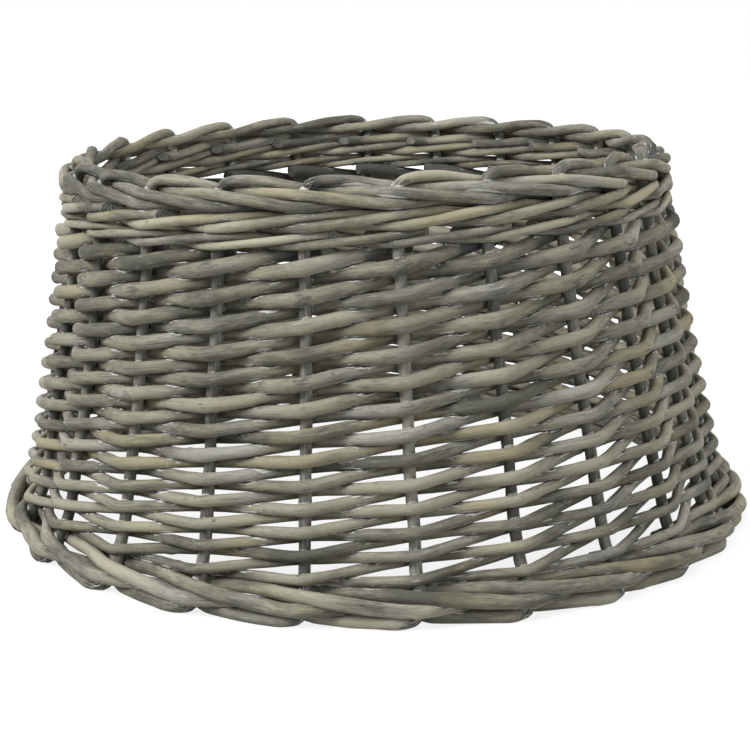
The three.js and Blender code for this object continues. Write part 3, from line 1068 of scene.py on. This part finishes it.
def bark(name, light, dark, wash, chalk, sill, crevice_shade, yellow, streaks):
    """Willow bark between a light and a dark colour, with so much of each of the rest."""
    material = new_material(name)
    seen = look_closely()
    pores = fade(seen.speckle + swing(seen.blotches, 0.25), 0.66, 0.76)
    crack = fade(seen.cracks, 0.70, 0.75)
    # Painted shade, in patches where the gap to the next rod closes
    contact_shade = fade(seen.gap + swing(seen.patches, 1.5), 1.3, 0.2)
    crushed = fade(seen.bent + swing(seen.patches, 1.6) + swing(seen.scratches, 0.8), 0.34, 0.5)
    chalked = chalky(seen, chalk, sill)
    scarred = fade(seen.scar + swing(seen.scratches, 0.5), 0.5, 0.9)
    # Painted shade: black where the rod's tone is lowest, at the ends darkened as shade
    deep_shade = fade(seen.tone + swing(seen.fine_streaks, 1.2), 0.05, -0.5)

    paint = wood_colour(seen, light, dark, wash, yellow, streaks)
    paint = darken(paint, (1 - 0.5 * pores) * (1 - 0.65 * crack))
    # Painted shade: the bark darkens near other rods, and more in patches where they touch.
    paint = darken(paint, 1 - crevice_shade * fade(seen.gap, 4.0, 0.3))
    paint = darken(paint, 1 - 0.55 * contact_shade)
    paint = tint(0.8 * crushed, paint, tint(fade(seen.bent, 0.5, 0.9), CRUSHED, CRUSH_AND_CONTACT_SHADE))
    paint = tint(0.95 * chalked * fade(seen.gap, 0.1, 0.5), paint, CHALK)
    paint = tint(0.6 * scarred, paint, CRUSHED)
    # Painted shade over the darkest ends
    paint = tint(0.9 * deep_shade, paint, BARK_LINE_AND_SHADE_BLACK)
    # Painted contact shadow where two rods touch
    paint = tint(0.85 * fade(seen.gap, 0.35, -0.2), paint, CRUSH_AND_CONTACT_SHADE)

    relief = 0.5 * seen.fine_streaks + 0.35 * seen.long_streaks
    relief = relief + 0.3 * chalked - 0.5 * pores - 0.8 * crack
    bump = Wire.node("ShaderNodeBump", {}, {**BARK_RELIEF, "Height": relief})
    rough = 0.7 + 0.12 * seen.fine_streaks + 0.12 * chalked
    sockets = {"Base Color": paint, "Roughness": rough, "Normal": bump}
    sockets["Specular IOR Level"] = BARK_SHINE
    shader = Wire.node("ShaderNodeBsdfPrincipled", {}, sockets)
    Wire.node("ShaderNodeOutputMaterial", {}, {"Surface": shader})
    return material


# In each mixture the value after the sill sets how much painted shade darkens the bark near other
# rods.
MIXTURES = {
    "stake": {
        "light": colour(0.44, 0.414, 0.309),
        "dark": colour(0.10, 0.098, 0.077),
        "wash": 0,
        "chalk": 0.14,
        "sill": 0.34,
        "crevice_shade": 0.35,
        "yellow": 0.6,
        "streaks": 0.6,
    },
    "weaver": {
        "light": colour(0.36, 0.342, 0.26),
        "dark": colour(0.09, 0.088, 0.068),
        "wash": 0,
        "chalk": 0.24,
        "sill": 0,
        "crevice_shade": 0.5,
        "yellow": 0.5,
        "streaks": 0,
    },
    "wale": {
        "light": colour(0.45, 0.425, 0.32),
        "dark": colour(0.13, 0.125, 0.093),
        "wash": 0.02,
        "chalk": 0.14,
        "sill": 0,
        "crevice_shade": 0.45,
        "yellow": 0.5,
        "streaks": 0,
    },
}
finishes = {kind: bark(kind.title() + " bark", **mixture) for kind, mixture in MIXTURES.items()}
print("bark mixtures:", ", ".join(finishes))

# %% [markdown]
# ## Cut wood
# A knife cut shows pale wood that has greyed, with faint yearly rings, a soft dark pith in the
# middle and a thin dark line of bark round it. Even rings would look like a target, so the wood
# is blotched, the rings are bent by the same noise, and dirt has settled in spots. The distance
# from the middle comes from the stored place, and the rod's slimness says where the edge is.

# %% Mix the cut wood
CUT_DARK = colour(0.11, 0.107, 0.095)
CUT_LIGHT = colour(0.36, 0.35, 0.31)
PITH = colour(0.05, 0.045, 0.04)
CUT_DIRT = colour(0.045, 0.043, 0.038)
CUT_RELIEF = {"Strength": 0.6, "Distance": 0.3 * MM}
CUT_SHINE = 0.3
RING_PACE = 4.5


def cut_wood():
    """The material of the cut ends."""
    material = new_material("Cut willow")
    place = measured("place_in_rod", "Vector")
    flat = Wire.node("ShaderNodeVectorMath", {"operation": "MULTIPLY"}, {0: place, 1: (0, 1, 1)})
    middle = Wire.node("ShaderNodeVectorMath", {"operation": "LENGTH"}, {0: flat}, "Value")
    ragged = grain(place, along=2, across=0.8, detail=3)
    spots = grain(place, along=2, across=1.3, detail=3, rough=0.7)
    rings = Wire.maths("SINE", RING_PACE * (middle + 2 * ragged))
    edge = fade(middle * measured("slimness") + swing(ragged, 0.3), 0.78, 0.9)

    wood = tint(fade(ragged + 0.06 * rings, 0.34, 0.62), CUT_DARK, CUT_LIGHT)
    wood = tint(0.7 * fade(middle + 1.4 * ragged, 1.3, 0.9), wood, PITH)
    wood = tint(0.8 * fade(spots, 0.55, 0.65), wood, CUT_DIRT)
    wood = tint(0.85 * edge, wood, BARK_LINE_AND_SHADE_BLACK)
    # Painted shade: the cut faces of ends whose tone was darkened as shade go black too
    wood = tint(0.85 * fade(measured("tone"), 0.2, -0.2), wood, BARK_LINE_AND_SHADE_BLACK)

    bump = Wire.node("ShaderNodeBump", {}, {**CUT_RELIEF, "Height": ragged})
    sockets = {"Base Color": wood, "Roughness": 0.7 + 0.25 * ragged, "Normal": bump}
    sockets["Specular IOR Level"] = CUT_SHINE
    shader = Wire.node("ShaderNodeBsdfPrincipled", {}, sockets)
    Wire.node("ShaderNodeOutputMaterial", {}, {"Surface": shader})
    return material


cut = cut_wood()
print("cut wood ready")

# %% [markdown]
# ## Put the rods in their places
# Each finished rod stands for one rod of the model, so it hides that one and moves with the same
# body. The rods could be joined into one mesh, but a maker thinks in rods, and a buyer may want
# to repaint only the weavers.

# %% Weave the collar
pieces = []
for rod in rods:
    finish = "wale" if rod.kind.endswith("wale") else rod.kind
    piece = build(rod, finishes[finish], cut)
    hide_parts(rod.node)
    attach(piece, "root")
    finish + "_willow"
    pieces.append(piece)
print("rods woven:", len(pieces), "faces:", sum(len(piece.data.polygons) for piece in pieces))
